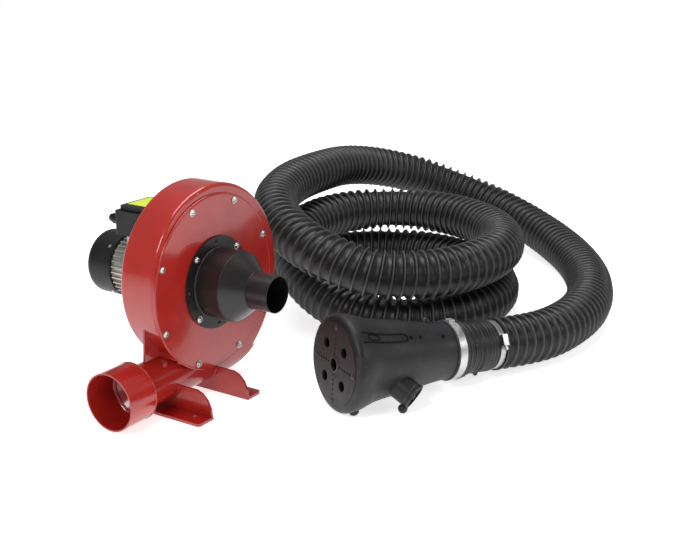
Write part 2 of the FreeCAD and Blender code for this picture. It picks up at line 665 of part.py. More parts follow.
def bell(inset, end):
    """The bell's solid, moved in by inset: a flat face, a round rim and a smooth flank."""
    mouth, neck, rim = size("mouth_radius"), size("neck_radius"), size("mouth_round")
    slant = math.sqrt(0.5) * (rim - inset)
    face_edge, rim_end = Vector(mouth - rim, inset, 0), Vector(mouth - inset, rim, 0)
    rim_arc = Part.Arc(face_edge, Vector(mouth - rim + slant, rim - slant, 0), rim_end)
    flank = Part.BSplineCurve()
    along = (rim, 60, 130, 190, size("neck_start") + 18)
    radii = (mouth, mouth - 11, mouth - 23, mouth - 32, neck)
    flank.interpolate(Points=[Vector(r - inset, a, 0) for a, r in zip(along, radii)],
                      InitialTangent=Vector(0, 1, 0), FinalTangent=Vector(0, 1, 0))
    neck_start, neck_end = Vector(neck - inset, along[-1], 0), Vector(neck - inset, end, 0)
    edges = [rim_arc.toShape(), flank.toShape(), Part.makeLine(neck_start, neck_end),
             Part.makeLine(neck_end, Vector(0, end, 0)),
             Part.makeLine(Vector(0, end, 0), Vector(0, inset, 0)),
             Part.makeLine(Vector(0, inset, 0), face_edge)]
    return Part.Face(Part.Wire(edges)).revolve(Vector(), Vector(0, 1, 0), 360)


def make_nozzle():
    """A rubber bell whose end is a flat face with holes, and a side port for a probe."""
    wall, end = size("rubber_wall"), size("neck_end")
    outside, hollow = bell(0, end), bell(wall, end + 1)
    across = Vector(0.85, 0, -0.53).normalize()
    lean = (across + Vector(0, 0.6, 0)).normalize()
    root = Vector(0, size("port_along"), 0) + across * 40
    reach = size("mouth_radius") - 33 + size("port_out") - 40
    stub = Part.makeCylinder(size("port_radius"), reach, root, lean)
    port = Part.makeCylinder(size("port_radius") - 4, reach + 1, root, lean)
    holes = [cylinder(size("centre_hole"), -1, wall + 1)]
    for angle in (45, 135, 225, 315):
        turn, circle = math.radians(angle), size("face_hole_circle")
        spot = Vector(circle * math.cos(turn), 0, circle * math.sin(turn))
        holes.append(cylinder(size("face_hole"), -1, wall + 1, centre=spot))
    mouth_of_port = root + lean * reach
    hang = Vector(-0.07, -0.564, -0.818)
    hang = (hang - lean * hang.dot(lean)).normalize()
    lug_foot = mouth_of_port - lean * 6 + hang * (size("port_radius") - 3)
    lug = Part.makeCylinder(7.5, 8, lug_foot, hang).fuse(Part.makeSphere(10, lug_foot + hang * 8))
    nozzle = outside.fuse([stub, lug]).cut([hollow, port] + holes)
    nozzle.Placement = NOZZLE
    shape_node("nozzle_body", nozzle)
    plug = Part.makeCylinder(size("port_radius") - 4 - 0.05, 10, mouth_of_port - lean * 18, lean)
    knob = Part.makeCylinder(5, 8, mouth_of_port - lean * 9, lean)
    cap = plug.fuse(knob).removeSplitter()
    cap.Placement = NOZZLE
    shape_node("probe_port_cap", cap)
    pull = NOZZLE.Rotation.multVec(lean)
    print("cap pulls out along", [round(c, 5) for c in pull])


def make_clamps():
    neck, begin = size("neck_radius"), size("neck_start")
    wall, end = size("rubber_wall"), size("neck_end")
    band = revolved([(begin + 22, neck), (begin + 22, neck + 2.5),
                     (begin + 40, neck + 2.5), (begin + 40, neck)])
    ear = Part.makeBox(14, 14, 5, Vector(-7, begin + 24, neck + 2))
    band = band.fuse(ear).removeSplitter()
    band.Placement = NOZZLE
    shape_node("neck_band_clamp", band)
    cuff, last = size("cuff_radius"), size("cuff_end")
    inside = neck - wall
    body = revolved([(begin + 10, inside - 3), (begin + 10, inside), (end, inside),
                     (end, inside + 3), (end + 8, inside + 3), (end + 10, cuff),
                     (end + 34, cuff), (end + 36, cuff + 2), (end + 40, cuff + 2),
                     (end + 42, cuff), (last - 26, cuff), (last - 26, cuff - 3),
                     (last - 5, cuff - 3), (last - 5, size("hose_radius")),
                     (last, size("hose_radius")), (last, cuff - 7), (end - 10, cuff - 7)])
    body.Placement = NOZZLE
    shape_node("nozzle_hose_cuff", body)
    make_worm_clamp(last)


def make_worm_clamp(last):
    """A worm-drive clamp over the hose's plain end: band, housing and screw."""
    radius = size("cuff_radius") - 3
    band = revolved([(last - 20, radius), (last - 20, radius + 1.2),
                     (last - 7, radius + 1.2), (last - 7, radius)])
    band.Placement = NOZZLE
    shape_node("worm_clamp_band", band)
    top = radius + 1.2
    side = Rotation(Vector(0, 1, 0), size("clamp_turn"))
    shell = Part.makeBox(24, 13, 12, Vector(-12, last - 20, top - 2))
    bore = cylinder(4.3, -20, 20, Vector(1, 0, 0), Vector(0, last - 13.5, top + 5))
    under = cylinder(top, last - 21, last - 6)
    screw = cylinder(4.25, -10, 16, Vector(1, 0, 0), Vector(0, last - 13.5, top + 5))
    points = [Vector(16, last - 13.5 + 4.6 * math.cos(math.radians(a)),
                     top + 5 + 4.6 * math.sin(math.radians(a))) for a in range(0, 361, 60)]
    head = Part.Face(Part.makePolygon(points)).extrude(Vector(6, 0, 0))
    slot = Part.makeBox(2, 12, 1.4, Vector(20.5, last - 19.5, top + 4.3))
    housing = shell.cut([bore, under])
    drive = screw.fuse(head).cut(slot).removeSplitter()
    turn = Placement(Vector(), side)
    for label, shape in (("worm_clamp_housing", housing), ("worm_clamp_screw", drive)):
        shape.Placement = NOZZLE.multiply(turn)
        shape_node(label, shape)
    spot = NOZZLE.multiply(turn).multVec(Vector(0, last - 13.5, top + 5))
    way = NOZZLE.multiply(turn).Rotation.multVec(Vector(1, 0, 0))
    print("worm screw at", [round(c, 2) for c in spot], "axis", [round(c, 5) for c in way])


# The hose's route from the cuff to its far end, as it lies on the floor in loose turns.
HOSE_POINTS = [
    (620, -522, 60), (765, -518, 59), (915, -475, 59), (1060, -400, 60), (1195, -300, 62),
    (1305, -175, 76), (1375, -30, 106), (1375, 115, 150), (1295, 235, 204), (1160, 310, 250),
    (1000, 335, 280), (840, 315, 291), (685, 300, 291), (545, 250, 282), (435, 165, 266),
    (368, 60, 242), (350, -45, 213), (375, -150, 184), (455, -245, 180), (575, -300, 180),
    (715, -305, 180), (845, -255, 180), (940, -160, 180), (995, -40, 180), (995, 85, 180),
    (940, 190, 180), (835, 255, 179), (710, 270, 173), (590, 230, 153), (498, 150, 117),
    (442, 45, 85), (415, -65, 65), (440, -175, 60), (520, -255, 60), (635, -295, 60),
    (760, -285, 60), (875, -220, 60), (955, -120, 60), (995, 5, 60), (980, 135, 60),
    (910, 245, 60), (795, 325, 60), (662, 360, 60), (530, 378, 60),
]


def hose_path(points):
    """Straight runs joined by tangent arcs, as large as each pair of runs allows."""
    edges, radii = [], []
    last = points[0]
    for before, here, after in zip(points, points[1:], points[2:]):
        back, on = (before - here), (after - here)
        shorter = min(back.Length, on.Length)
        reach = 0.45 * shorter
        start = here + back.normalize() * reach
        end = here + on.normalize() * reach
        half_turn = (math.pi - back.getAngle(on)) / 2
        radii.append(reach / math.tan(half_turn))
        bisector = (back + on).normalize()
        centre = here + bisector * (radii[-1] / math.cos(half_turn))
        middle = centre - bisector * radii[-1]
        edges.append(Part.makeLine(last, start))
        edges.append(Part.Arc(start, middle, end).toShape())
        last = end
    edges.append(Part.makeLine(last, points[-1]))
    print("hose radii", [round(r) for r in radii])
    return Part.Wire(edges)


def swept(path, radius):
    """A round solid along a path of tangent edges."""
    first = path.Edges[0]
    start = first.valueAt(first.FirstParameter)
    way = first.tangentAt(first.FirstParameter)
    ring = Part.Wire(Part.makeCircle(radius, start, way))
    return path.makePipeShell([ring], True, False)


def make_hose():
    exit_point = NOZZLE.multVec(Vector(0, size("cuff_end"), 0))
    straight = NOZZLE.multVec(Vector(0, size("cuff_end") + size("first_run"), 0))
    points = [exit_point, straight] + [Vector(*p) for p in HOSE_POINTS]
    print("hose starts at", [round(c, 1) for c in exit_point], [round(c, 1) for c in straight])
    path = hose_path(points)
    outer, inner = size("hose_radius"), size("hose_radius") - size("hose_wall")
    hose = swept(path, outer).cut(swept(path, inner))
    section = math.pi * (outer ** 2 - inner ** 2)
    print("hose length", round(path.Length), "volume ratio",
          round(hose.Volume / section / path.Length, 4))
    shape_node("extraction_hose", hose)
    heading = (points[-1] - points[-2]).normalize()
    tip = points[-1]
    bore = size("spigot_radius") + 0.2
    outside = Part.makeCone(outer - 1, bore + 6, 30, tip, heading)
    outside = outside.fuse(Part.makeCylinder(bore + 6, 60, tip + heading * 30, heading))
    inside = Part.makeCylinder(bore, 100, tip - heading, heading)
    shape_node("hose_end_cuff", outside.cut(inside).removeSplitter())


make_casing()
make_cover()
make_screws()
make_adapter()
make_foot("outlet_side_foot", size("near_web"), -1)
make_foot("far_side_foot", size("far_web"), 1)
make_gusset()
make_motor_frame()
make_motor_core()
make_motor_bolts()
make_cooling_fan()
make_fan_cover()
make_terminal_box()
make_impeller()
make_nozzle()
make_clamps()
make_hose()
doc.recompute()

for obj in doc.Objects:
    if "Invalid" in obj.State or "Error" in obj.State:
        raise SystemExit(f"{obj.Label} failed: {obj.State}")
for obj in nodes:
    if obj.Shape.isNull() or not obj.Shape.isValid():
        raise SystemExit(f"{obj.Label} has no valid shape")

os.makedirs("parts", exist_ok=True)
for obj in nodes:
    obj.Shape.exportStep(f"parts/{obj.Label}.step")
    print(obj.Label, len(obj.Shape.Solids), round(obj.Shape.Volume / 1000, 2), "cm3")
print(len(nodes), "nodes")
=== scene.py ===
import json
import math

import bpy
import numpy as np
from mathutils import Matrix, Vector
from mathutils.bvhtree import BVHTree


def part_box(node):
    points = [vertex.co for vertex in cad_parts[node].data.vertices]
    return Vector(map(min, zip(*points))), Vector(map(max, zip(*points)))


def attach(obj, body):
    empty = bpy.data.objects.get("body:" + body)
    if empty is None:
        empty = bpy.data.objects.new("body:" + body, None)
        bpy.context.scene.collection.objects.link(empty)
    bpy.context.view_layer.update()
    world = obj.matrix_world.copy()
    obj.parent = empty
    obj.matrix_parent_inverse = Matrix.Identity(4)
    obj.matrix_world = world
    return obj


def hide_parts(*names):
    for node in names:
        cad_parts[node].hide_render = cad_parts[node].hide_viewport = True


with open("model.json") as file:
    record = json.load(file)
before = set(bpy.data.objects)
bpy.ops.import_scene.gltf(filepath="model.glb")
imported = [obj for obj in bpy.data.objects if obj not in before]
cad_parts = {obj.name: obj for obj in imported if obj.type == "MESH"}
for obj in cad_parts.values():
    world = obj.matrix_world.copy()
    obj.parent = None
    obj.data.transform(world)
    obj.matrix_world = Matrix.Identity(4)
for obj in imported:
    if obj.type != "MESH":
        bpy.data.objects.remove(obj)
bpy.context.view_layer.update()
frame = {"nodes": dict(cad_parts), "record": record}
nodes = frame["nodes"]
scene = bpy.context.scene

# ------------------------------------------------------------------ camera, floor and light

CAMERA_PLACE = (-1.66258, -1.39488, 0.93591)
CAMERA_AZIMUTH = math.radians(-57.3)
CAMERA_ELEVATION = math.radians(17.7)
CAMERA_LENS = 56.37
CAMERA_SIGHT = 1000
FLOOR_REACH = 400
FLOOR_DROP = 0.0005


def add_camera():
    data = bpy.data.cameras.new("camera")
    data.lens = CAMERA_LENS
    data.sensor_width = 36
    data.clip_end = CAMERA_SIGHT
    camera = bpy.data.objects.new("camera", data)
    camera.location = CAMERA_PLACE
    camera.rotation_euler = (math.pi / 2 - CAMERA_ELEVATION, 0, CAMERA_AZIMUTH)
    scene.collection.objects.link(camera)
    scene.camera = camera


def add_floor():
    """A pale sheet that the set stands on, far wider than the view."""
    mesh = bpy.data.meshes.new("floor")
    reach = FLOOR_REACH
    corners = [(-reach, -reach, 0), (reach, -reach, 0), (reach, reach, 0), (-reach, reach, 0)]
    mesh.from_pydata(corners, [], [(0, 1, 2, 3)])
    floor = bpy.data.objects.new("floor", mesh)
    floor.location.z = -FLOOR_DROP
    scene.collection.objects.link(floor)
    mat = bpy.data.materials.new("floor_white")
    mat.use_nodes = True
    shader = mat.node_tree.nodes["Principled BSDF"]
    shader.inputs["Base Color"].default_value = (0.93, 0.93, 0.93, 1)
    shader.inputs["Roughness"].default_value = 0.8
    shader.inputs["Emission Color"].default_value = (1, 1, 1, 1)
    shader.inputs["Emission Strength"].default_value = 0.70
    mesh.materials.append(mat)


def add_light(name, place, target, width, height, power):
    data = bpy.data.lights.new(name, "AREA")
    data.shape = "RECTANGLE"
    data.size = width
    data.size_y = height
    data.energy = power
    light = bpy.data.objects.new(name, data)
    light.location = place
    toward = Vector(target) - Vector(place)
    light.rotation_euler = toward.to_track_quat("-Z", "Y").to_euler()
    scene.collection.objects.link(light)


def add_lights():
    world = bpy.data.worlds.new("studio")
    world.use_nodes = True
    background = world.node_tree.nodes["Background"]
    background.inputs["Color"].default_value = (1, 1, 1, 1)
    background.inputs["Strength"].default_value = 0.32
    scene.world = world
    add_light("key", (-2.4, -0.4, 2.4), (0.0, 0, 0.2), 1.0, 1.0, 36)
    add_light("overhead", (0.6, 0.3, 2.9), (0.5, 0, 0.1), 2.6, 1.4, 66)
    add_light("front", (0.9, -3.0, 1.6), (0.4, -0.2, 0.2), 1.4, 0.5, 16)
    scene.view_settings.view_transform = "Standard"


# ------------------------------------------------------------------ materials

class Finish:
    """A procedural material: two mixed tones and uneven gloss, with tints and bumps added."""

    def __init__(self, name, dark, light, rough, metal=0.0, tone_scale=12.0, shine=0.5):
        self.material = bpy.data.materials.new(name)
        self.material.use_nodes = True
        self.tree = self.material.node_tree
        self.shader = self.tree.nodes["Principled BSDF"]
        self.shader.inputs["Metallic"].default_value = metal
        self.shader.inputs["Specular IOR Level"].default_value = shine
        self.place = self.tree.nodes.new("ShaderNodeTexCoord").outputs["Object"]
        self.height = None
        tone = self.noise(tone_scale, 5)
        self.colour = self.mix(self.spread(tone, 0.35, 0.65), dark, light)
        self.tree.links.new(self.colour, self.shader.inputs["Base Color"])
        patchy = self.noise(tone_scale * 3.1, 4)
        gloss = self.spread(patchy, 0.3, 0.7, rough[0], rough[1])
        self.tree.links.new(gloss, self.shader.inputs["Roughness"])

    def noise(self, scale, detail=3.0, stretch=None):
        node = self.tree.nodes.new("ShaderNodeTexNoise")
        node.inputs["Scale"].default_value = scale
        node.inputs["Detail"].default_value = detail
        place = self.place
        if stretch:
            mapping = self.tree.nodes.new("ShaderNodeMapping")
            mapping.inputs["Scale"].default_value = stretch
            self.tree.links.new(place, mapping.inputs["Vector"])
            place = mapping.outputs["Vector"]
        self.tree.links.new(place, node.inputs["Vector"])
        return node.outputs["Fac"]

    def spread(self, value, low, high, to_low=0.0, to_high=1.0):
        node = self.tree.nodes.new("ShaderNodeMapRange")
        self.tree.links.new(value, node.inputs["Value"])
        for name, number in (("From Min", low), ("From Max", high),
                             ("To Min", to_low), ("To Max", to_high)):
            node.inputs[name].default_value = number
        return node.outputs["Result"]

    def mix(self, factor, first, second):
        node = self.tree.nodes.new("ShaderNodeMix")
        node.data_type = "RGBA"
        self.tree.links.new(factor, node.inputs["Factor"])
        colours = [s for s in node.inputs if s.type == "RGBA"]
        for socket, tone in zip(colours, (first, second)):
            if isinstance(tone, tuple):
                socket.default_value = (*tone, 1)
            else:
                self.tree.links.new(tone, socket)
        return [s for s in node.outputs if s.type == "RGBA"][0]

    def tint(self, factor, colour):
        """Mixes one more tone over the base colour."""
        self.colour = self.mix(factor, self.colour, colour)
        self.tree.links.new(self.colour, self.shader.inputs["Base Color"])
        return self

    def bump(self, scale, distance, strength=0.5, detail=2.0, stretch=None):
        node = self.tree.nodes.new("ShaderNodeBump")
        node.inputs["Strength"].default_value = strength
        node.inputs["Distance"].default_value = distance
        self.tree.links.new(self.noise(scale, detail, stretch), node.inputs["Height"])
        if self.height:
            self.tree.links.new(self.height, node.inputs["Normal"])
        self.height = node.outputs["Normal"]
        self.tree.links.new(self.height, self.shader.inputs["Normal"])
        return self

    def coat(self, weight, rough):
        self.shader.inputs["Coat Weight"].default_value = weight
        self.shader.inputs["Coat Roughness"].default_value = rough
        return self

    def attribute(self, name):
        node = self.tree.nodes.new("ShaderNodeAttribute")
        node.attribute_name = name
        return node.outputs["Fac"]


def make_finishes():
    red = Finish("red_powder_coat", (0.335, 0.013, 0.009), (0.39, 0.017, 0.012), (0.16, 0.26))
    red.bump(170, 0.0006, 0.14).bump(9, 0.004, 0.10).coat(0.4, 0.06)
    black = Finish("black_satin_coat", (0.006, 0.005, 0.006), (0.012, 0.009, 0.010), (0.28, 0.40),
                   shine=0.4)
    black.bump(420, 0.0003, 0.25).coat(0.1, 0.25)
    plastic = Finish("moulded_black", (0.004, 0.004, 0.005), (0.008, 0.008, 0.009), (0.38, 0.5),
                     shine=0.28)
    plastic.bump(900, 0.0002, 0.35)
    rubber = Finish("nozzle_rubber", (0.007, 0.007, 0.008), (0.013, 0.013, 0.015), (0.38, 0.54),
                    shine=0.35)
    rubber.bump(260, 0.0004, 0.35).bump(14, 0.003, 0.18)
    rubber.tint(rubber.spread(rubber.noise(34, 6), 0.60, 0.78, 0.0, 0.35), (0.045, 0.045, 0.045))
    # Hose: the near-black base is painted shade in the valleys between the ribs; the grey tint
    # over the crest mask is a painted highlight on the rib crests.
    hose = Finish("hose_rubber", (0.0025, 0.0025, 0.003), (0.005, 0.005, 0.006), (0.36, 0.48),
                  shine=0.38)
    crest_and_highlight = hose.spread(hose.attribute("crest_and_highlight"), 0.40, 1.0, 0.0, 0.9)
    hose.tint(crest_and_highlight, (0.074, 0.075, 0.078))
    hose.tint(hose.spread(hose.noise(40, 5), 0.62, 0.8, 0.0, 0.18), (0.05, 0.05, 0.05))
    hose.bump(700, 0.0004, 0.35).bump(90, 0.0008, 0.2)
    tread = Finish("moulded_ridge", (0.012, 0.012, 0.013), (0.022, 0.022, 0.024), (0.34, 0.45))
    tread.bump(500, 0.0002, 0.3)
    # Near-black painted shade, laid where slits and moulded marks fall in shadow; the rubber
    # itself is not this dark.
    painted_shade = Finish("painted_shade_dark", (0.0012, 0.0012, 0.0012), (0.002, 0.002, 0.002), (0.7, 0.85),
                    shine=0.15)
    painted_shade.bump(600, 0.0002, 0.3)
    alloy = Finish("cast_alloy", (0.40, 0.39, 0.36), (0.55, 0.54, 0.50), (0.38, 0.55), 0.75)
    alloy.bump(520, 0.0003, 0.4)
    zinc = Finish("zinc_plate", (0.44, 0.43, 0.41), (0.60, 0.59, 0.57), (0.24, 0.38), 1.0, 60)
    zinc.bump(900, 0.0001, 0.3)
    band = Finish("brushed_band", (0.40, 0.40, 0.40), (0.55, 0.55, 0.55), (0.34, 0.50), 1.0, 30)
    band.bump(500, 0.0002, 0.4, 2, (1, 1, 12))
    steel = Finish("machined_steel", (0.42, 0.42, 0.42), (0.58, 0.58, 0.58), (0.22, 0.36), 1.0, 25)
    steel.bump(600, 0.0001, 0.3, 2, (1, 14, 1))
    copper = Finish("enamelled_copper", (0.42, 0.16, 0.06), (0.62, 0.28, 0.11), (0.25, 0.4),
                    0.9, 50)
    copper.bump(240, 0.0008, 0.6, 2, (1, 6, 1))
    film = Finish("plain_film", (0.62, 0.74, 0.02), (0.70, 0.82, 0.04), (0.28, 0.36))
    film.bump(120, 0.0002, 0.2)
    gasket = Finish("gasket_rubber", (0.02, 0.02, 0.02), (0.035, 0.035, 0.035), (0.6, 0.75))
    gasket.bump(600, 0.0003, 0.4)
    return {"red_paint": red, "black_paint": black, "black_plastic": plastic,
            "nozzle_rubber": rubber, "hose_rubber": hose, "motor_aluminium": alloy,
            "zinc_steel": zinc, "bare_steel": steel, "winding_copper": copper,
            "sticker": film, "gasket_rubber": gasket, "impeller_steel": black,
            "band": band, "ridge": tread, "painted_shade": painted_shade}


FINISHES = make_finishes()


def paint(obj, slot):
    obj.data.materials.clear()
    obj.data.materials.append(FINISHES[slot].material)


def paint_cad_nodes():
    """Every CAD node gets its record slot's finish; the two clamp bands get the brushed one."""
    for part in frame["record"]["subparts"]:
        paint(nodes[part["node"]], part["material_slot"])
    for name in ("neck_band_clamp", "worm_clamp_band"):
        paint(nodes[name], "band")


# ------------------------------------------------------------------ mesh helpers

def add_mesh(name, verts, faces, slot, body="root", smooth=True):
    mesh = bpy.data.meshes.new(name)
    mesh.from_pydata([tuple(v) for v in verts], [], [tuple(f) for f in faces])
    mesh.validate()
    if smooth:
        mesh.shade_smooth()
    obj = bpy.data.objects.new(name, mesh)
    scene.collection.objects.link(obj)
    paint(obj, slot)
    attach(obj, body)
    return obj


def curve_frames(points):
    """Tangents and two steady cross directions at each of a row of points."""
    points = np.asarray(points, float)
    tangents = np.gradient(points, axis=0)
    tangents /= np.linalg.norm(tangents, axis=1)[:, None]
    side = np.cross(tangents[0], (0, 0, 1.0))
    side /= np.linalg.norm(side)
    sides = []
    for tangent in tangents:
        side = side - tangent * (side @ tangent)
        side /= np.linalg.norm(side)
        sides.append(side)
    sides = np.array(sides)
    return tangents, sides, np.cross(tangents, sides)


def tube_mesh(points, radii, around):
    """Rings of radii[i][j] about each point, joined in quads, with open ends."""
    tangents, sides, ups = curve_frames(points)
    angles = np.linspace(0, 2 * math.pi, around, endpoint=False)
    spokes = (np.cos(angles)[None, :, None] * sides[:, None, :]
              + np.sin(angles)[None, :, None] * ups[:, None, :])
    verts = (np.asarray(points)[:, None, :] + spokes * radii[:, :, None]).reshape(-1, 3)
    faces = []
    for i in range(len(points) - 1):
        for j in range(around):
            following = (j + 1) % around
            faces.append((i * around + j, i * around + following,
                          (i + 1) * around + following, (i + 1) * around + j))
    return verts, faces


# ------------------------------------------------------------------ hose

HOSE_DIAMETER = 0.116
HOSE_AROUND = 44
RIB_PITCH = 0.0235
RIB_HIGH = 0.0092
RIB_SHARE = 0.42
STEPS_PER_RIB = 12
HOSE_START = (0.4024, -0.4446, 0.0703)
HOSE_ROUTE = [HOSE_START, (0.4993, -0.4959, 0.0617)] + [
    (x / 1000, y / 1000, z / 1000) for x, y, z in (
        (620, -522, 60), (765, -518, 59), (915, -475, 59), (1060, -400, 60), (1195, -300, 62),
        (1305, -175, 76), (1375, -30, 106), (1375, 115, 150), (1295, 235, 204),
        (1160, 310, 250), (1000, 335, 280), (840, 315, 291), (685, 300, 291), (545, 250, 282),
        (435, 165, 266), (368, 60, 242), (350, -45, 213), (375, -150, 184), (455, -245, 180),
        (575, -300, 180), (715, -305, 180), (845, -255, 180), (940, -160, 180),
        (995, -40, 180), (995, 85, 180), (940, 190, 180), (835, 255, 179), (710, 270, 173),
        (590, 230, 153), (498, 150, 117), (442, 45, 85), (415, -65, 65), (440, -175, 60),
        (520, -255, 60), (635, -295, 60), (760, -285, 60), (875, -220, 60), (955, -120, 60),
        (995, 5, 60), (980, 135, 60), (910, 245, 60), (795, 325, 60), (662, 360, 60),
        (530, 378, 60))]


def spline_points(route, resolution=24):
    """The points of the smooth line that the route's NURBS spline makes."""
    curve = bpy.data.curves.new("hose_line", "CURVE")
    curve.dimensions = "3D"
    curve.resolution_u = resolution
    spline = curve.splines.new("NURBS")
    spline.points.add(len(route) - 1)
    for point, place in zip(spline.points, route):
        point.co = (*place, 1)
    spline.order_u = 3
    spline.use_endpoint_u = True
    holder = bpy.data.objects.new("hose_line", curve)
    scene.collection.objects.link(holder)
    bpy.context.view_layer.update()
    mesh = bpy.data.meshes.new_from_object(holder.evaluated_get(
        bpy.context.evaluated_depsgraph_get()))
    line = np.array([v.co[:] for v in mesh.vertices])
    bpy.data.objects.remove(holder)
    bpy.data.meshes.remove(mesh)
    return line


def evenly(line, step):
    """Points a step apart along a line, and their distance along it."""
    lengths = np.concatenate([[0], np.cumsum(np.linalg.norm(np.diff(line, axis=0), axis=1))])
    along = np.linspace(0, lengths[-1], int(round(lengths[-1] / step)) + 1)
    return np.stack([np.interp(along, lengths, line[:, k]) for k in range(3)], 1), along


def add_hose():
    """The hose: a fabric skin that sinks between the turns of one helical rib."""
    points, along = evenly(spline_points(HOSE_ROUTE), RIB_PITCH / STEPS_PER_RIB)
    angles = np.linspace(0, 1, HOSE_AROUND, endpoint=False)
    phase = (along[:, None] / RIB_PITCH + angles[None, :]) % 1.0
    off_crest = np.minimum(phase, 1 - phase) / 0.5
    crest_and_highlight = np.clip(1 - off_crest / RIB_SHARE, 0, 1)
    crest_and_highlight = crest_and_highlight * crest_and_highlight * (3 - 2 * crest_and_highlight)
    sag = np.clip((off_crest - RIB_SHARE) / (1 - RIB_SHARE), 0, 1)
    wobble = 0.0004 * np.sin(along[:, None] * 37) * np.cos(2 * math.pi * angles[None, :] * 2)
    radii = HOSE_DIAMETER / 2 - RIB_HIGH * (1 - crest_and_highlight) - 0.0012 * sag ** 2 + wobble * (1 - crest_and_highlight)
    verts, faces = tube_mesh(points, radii, HOSE_AROUND)
    hose = add_mesh("ribbed_hose", verts, faces, "hose_rubber")
    # The crest mask is also stored on the mesh, where hose_rubber uses it for the painted crest
    # highlight.
    attribute = hose.data.attributes.new("crest_and_highlight", "FLOAT", "POINT")
    attribute.data.foreach_set("value", crest_and_highlight.reshape(-1).astype(np.float32))
    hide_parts("extraction_hose")


# ------------------------------------------------------------------ small shapes in a frame

class Axis:
    """A place with a forward axis and two cross directions, for shapes turned about it."""

    def __init__(self, origin, forward, upright):
        self.origin = Vector(origin)
        self.forward = Vector(forward).normalized()
        self.side = self.forward.cross(Vector(upright)).normalized()
        self.up = self.side.cross(self.forward)

    def at(self, along, radius=0.0, angle=0.0):
        """A point at a distance along the axis; the angle runs from side toward up."""
        turn = math.radians(angle)
        spoke = self.side * math.cos(turn) + self.up * math.sin(turn)
        return self.origin + self.forward * along + spoke * radius

    def spoke(self, angle):
        return self.at(0, 1, angle) - self.origin


def lathe(name, axis, profile, slot, around=96, body="root"):
    """A closed profile of (along, radius) pairs turned about an axis."""
    verts, faces, count = [], [], len(profile)
    for j in range(around):
        verts += [axis.at(along, radius, 360 * j / around) for along, radius in profile]
    for j in range(around):
        here, there = j * count, (j + 1) % around * count
        for i in range(count):
            k = (i + 1) % count
            faces.append((here + i, there + i, there + k, here + k))
    return add_mesh(name, verts, faces, slot, body)


def rounded_ring(name, axis, along, radius, width, high, slot):
    """A moulded ridge round an axis: half an ellipse, width wide and high proud."""
    steps = 9
    arc = [(along + width / 2 * math.cos(math.pi * i / steps),
            radius + high * math.sin(math.pi * i / steps)) for i in range(steps + 1)]
    base = [(along - width / 2, radius - 0.001), (along + width / 2, radius - 0.001)]
    return lathe(name, axis, arc + base, slot)


def bead(name, path, radius, slot, lumps=0.0, spacing=0.006, closed=False):
    """A round bead along a path, with the even ripple of a weld when lumps is set."""
    line = np.array([tuple(p) for p in path])
    if closed:
        line = np.vstack([line, line[:1]])
    points, along = evenly(line, min(spacing / 4, 0.0015) if lumps else 0.002)
    ripple = 1 + lumps * np.sin(2 * math.pi * along / spacing)
    if not closed:
        ripple = ripple * np.clip(np.minimum(along, along[-1] - along) / radius, 0.15, 1)
    verts, faces = tube_mesh(points, np.repeat((radius * ripple)[:, None], 10, 1), 10)
    return add_mesh(name, verts, faces, slot)


def dome(name, place, outward, radius, high, slot):
    """A low round button with a flat foot, standing on a surface."""
    outward = Vector(outward).normalized()
    upright = (0, 0, 1) if abs(outward.z) < 0.9 else (1, 0, 0)
    axis = Axis(place, outward, upright)
    steps = 6
    arc = [(high * math.sin(math.pi / 2 * i / steps), radius * math.cos(math.pi / 2 * i / steps))
           for i in range(steps)]
    profile = [(-0.001, radius)] + arc + [(high, 0.00002), (-0.001, 0.00002)]
    return lathe(name, axis, profile, slot, 24)


class Surface:
    """Finds places on a CAD node's surface, looking at it from outside."""

    def __init__(self, node):
        mesh = nodes[node].data
        self.tree = BVHTree.FromPolygons([v.co for v in mesh.vertices],
                                         [p.vertices for p in mesh.polygons])

    def toward(self, axis, along, angle, reach=0.3):
        """The point and outward direction seen by a ray that comes in to the axis."""
        spoke = axis.spoke(angle)
        hit, normal, _, _ = self.tree.ray_cast(axis.at(along) + spoke * reach, -spoke)
        if normal.dot(spoke) < 0:
            normal = -normal
        return hit, normal


# ------------------------------------------------------------------ nozzle and cuff

def opening_middle(name):
    box = next(o for o in frame["record"]["physics"]["openings"] if o["name"] == name)["box_m"]
    return (Vector(box[0]) + Vector(box[1])) / 2


FACE_WALL = 0.005
HOLE_MIDDLE = opening_middle("nozzle_centre_hole")
NOZZLE_FORWARD = (opening_middle("nozzle_inside") - HOLE_MIDDLE).normalized()
NOZZLE = Axis(HOLE_MIDDLE - NOZZLE_FORWARD * FACE_WALL / 2, NOZZLE_FORWARD, (0, 0, 1))
FACE_RADIUS, CENTRE_HOLE, FACE_HOLE, HOLE_CIRCLE = 0.0865, 0.0145, 0.0115, 0.050
SLIT_ROWS, SLITS_IN_ROW, SLIT_FIRST, SLIT_STEP = (0, 90, 180, 270), 5, 0.0225, 0.0105
SLIT_LONG, SLIT_WIDE = 0.0072, 0.0046
# Span and half width of the painted-shade strips under the slits.
SLIT_SHADE_FROM, SLIT_SHADE_TO, SLIT_SHADE_HALF = 0.0175, 0.0700, 0.0028
BUTTON_CIRCLE = 0.0775
NECK_RADIUS, CUFF_RADIUS = 0.062, 0.056
PORT_RADIUS, KNOB_BELOW_MOUTH = 0.0275, 0.001
CLAMP_MIDDLE, CLAMP_RADIUS, CLAMP_SLOTS, CLAMP_SLOT_HALF = 0.3865, 0.0542, 30, 0.0036
CLAMP_SLOT_FIRST, CLAMP_SLOT_STEP = 19, 3.1


def circle_points(x, y, radius, count):
    turns = [2 * math.pi * i / count for i in range(count)]
    return [(x + radius * math.cos(t), y + radius * math.sin(t)) for t in turns]


